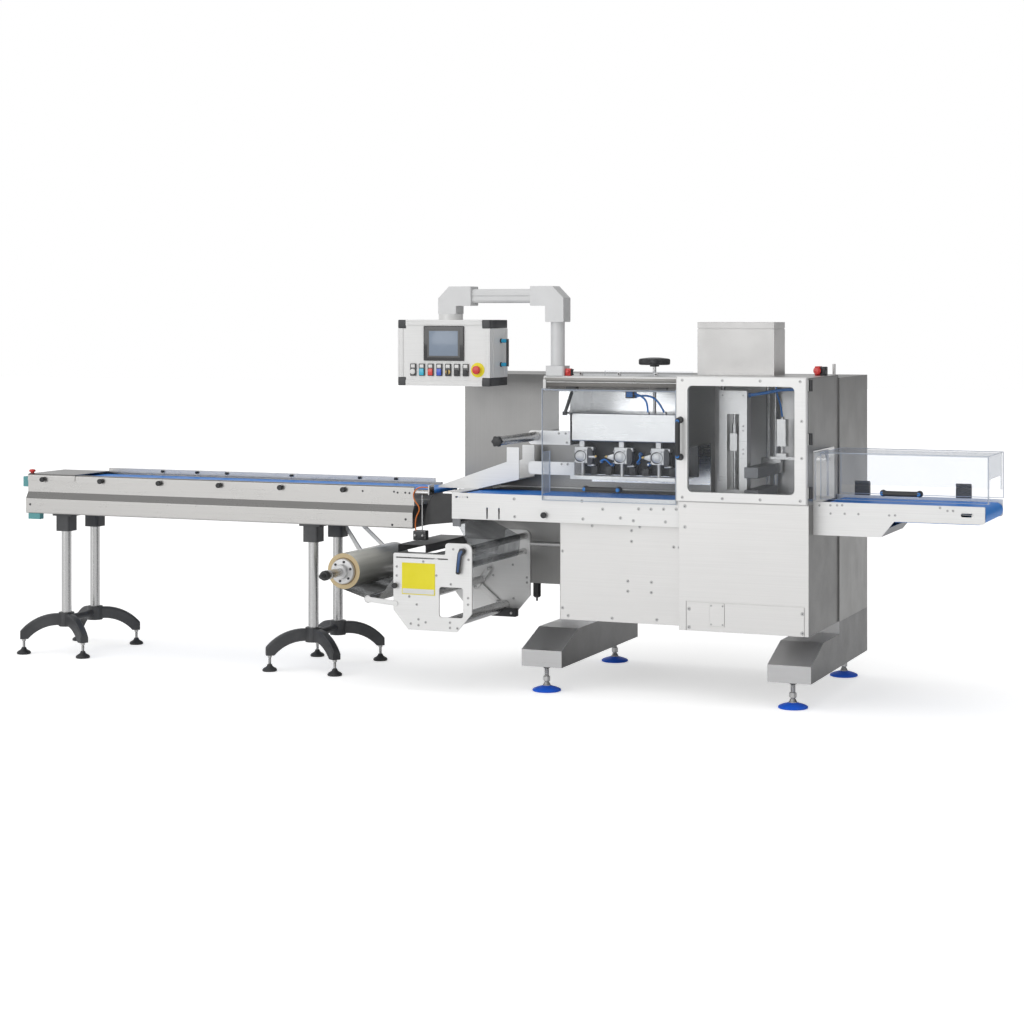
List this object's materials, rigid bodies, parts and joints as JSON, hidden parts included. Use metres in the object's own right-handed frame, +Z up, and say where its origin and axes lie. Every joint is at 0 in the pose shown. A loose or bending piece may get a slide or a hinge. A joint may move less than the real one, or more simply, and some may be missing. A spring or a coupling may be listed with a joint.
{
  "type": "flow wrap machine",
  "caption": "Horizontal form-fill-seal packaging machine with belt infeed, film unwinder, fin seal section, sealing chamber with hinged door, and guarded outfeed.",
  "frame": {"origin": "centre of the machine's footprint, on the floor", "axes": "+X along the flow of the product, from infeed to outfeed; +Y away from the operator's side; +Z up"},
  "size_m": [4.986, 1.4544, 1.876],
  "materials": {
    "brushed_steel": "brushed stainless sheet",
    "column_steel": "polished tube",
    "roller_steel": "turned and ground steel",
    "dark_steel": "darkened steel",
    "cast_aluminium": "machined casting",
    "white_plate": "satin light sheet",
    "grey_arm": "smooth light grey paint",
    "blue_belt": "matte belt",
    "blue_pad": "moulded foot",
    "black_plastic": "moulded plastic",
    "black_casting": "textured moulding",
    "teal_plastic": "moulded switch box",
    "red_plastic": "moulded button",
    "clear_sheet": "clear plastic sheet",
    "blue_hose": "smooth hose",
    "orange_cable": "smooth cable jacket",
    "dark_film": "dark guard",
    "film": "wound clear film"
  },
  "bodies": {
    "machine": {"infeed_sides": "brushed_steel", "belt_beds": "dark_steel", "conveyor_belts": "blue_belt", "belt_rollers": "roller_steel", "infeed_covers": "brushed_steel", "knobs": "black_plastic", "infeed_switches": "teal_plastic", "stop_buttons": "red_plastic", "stand_columns": "column_steel", "stand_castings": "black_casting", "stand_feet": "black_plastic", "machine_legs": "brushed_steel", "foot_pads": "blue_pad", "foot_stems": "column_steel", "electrical_cabinet": "brushed_steel", "middle_cabinet": "brushed_steel", "sealing_cabinet": "brushed_steel", "filter_bowl": "black_plastic", "feed_rails": "white_plate", "film_rollers": "roller_steel", "film_curtain": "dark_film", "sensor_mount": "roller_steel", "sensor_cable": "orange_cable", "forming_box": "white_plate", "film_brackets": "white_plate", "back_plate": "white_plate", "fin_seal_cover": "white_plate", "fin_seal_wheels": "cast_aluminium", "fin_seal_bar": "white_plate", "top_canopy": "white_plate", "hinges": "black_plastic", "guard_strut": "black_plastic", "chamber_side_walls": "brushed_steel", "chamber_shell": "brushed_steel", "hood": "brushed_steel", "jaw_column": "white_plate", "jaw_guides": "roller_steel", "sealing_jaws": "dark_steel", "air_hoses": "blue_hose", "outfeed_sides": "white_plate", "entry_plate": "white_plate", "unwind_plates": "white_plate", "film_web": "film", "arm_base": "grey_arm"},
    "handwheel": {"adjusting_spindle": "column_steel", "handwheel": "black_plastic"},
    "front_guard": {"front_guard": "clear_sheet", "front_guard_handle": "black_plastic"},
    "sealing_door": {"door_pane": "clear_sheet", "door_handle": "black_plastic", "door_frame": "white_plate"},
    "outfeed_guard": {"outfeed_guard": "clear_sheet", "outfeed_guard_handle": "black_plastic"},
    "film_reel": {"film_reel": "film", "reel_shaft": "roller_steel"},
    "panel_arm": {"panel_arm": "grey_arm"},
    "operator_panel": {"panel_fittings": "black_plastic", "panel_box": "white_plate", "panel_screen": "black_plastic", "panel_controls": "black_plastic"}
  },
  "joints": [
    {"name": "door_swing", "type": "hinge", "parent": "machine", "child": "sealing_door", "pos_m": [1.745, -0.35966, 1.185], "axis": [0, 0, 1], "range_deg": [0, 110]},
    {"name": "front_guard_lift", "type": "hinge", "parent": "machine", "child": "front_guard", "pos_m": [0.792, -0.23316, 1.401], "axis": [-1, 0, 0], "range_deg": [0, 80]},
    {"name": "outfeed_guard_lift", "type": "hinge", "parent": "machine", "child": "outfeed_guard", "pos_m": [2.117, 0.15814, 0.975], "axis": [-1, 0, 0], "range_deg": [0, 95]},
    {"name": "arm_swing", "type": "hinge", "parent": "machine", "child": "panel_arm", "pos_m": [0.487, -0.17616, 1.83], "axis": [0, 0, 1], "range_deg": [0, 45]},
    {"name": "panel_turn", "type": "hinge", "parent": "panel_arm", "child": "operator_panel", "pos_m": [-0.059, -0.17616, 1.7357], "axis": [0, 0, 1], "range_deg": [-45, 45]},
    {"name": "reel_spin", "type": "hinge", "parent": "machine", "child": "film_reel", "pos_m": [-0.473, -0.48616, 0.535], "axis": [0, 1, 0], "continuous": true},
    {"name": "handwheel_turn", "type": "hinge", "parent": "machine", "child": "handwheel", "pos_m": [0.909, -0.01616, 1.5], "axis": [0, 0, 1], "continuous": true}
  ]
}
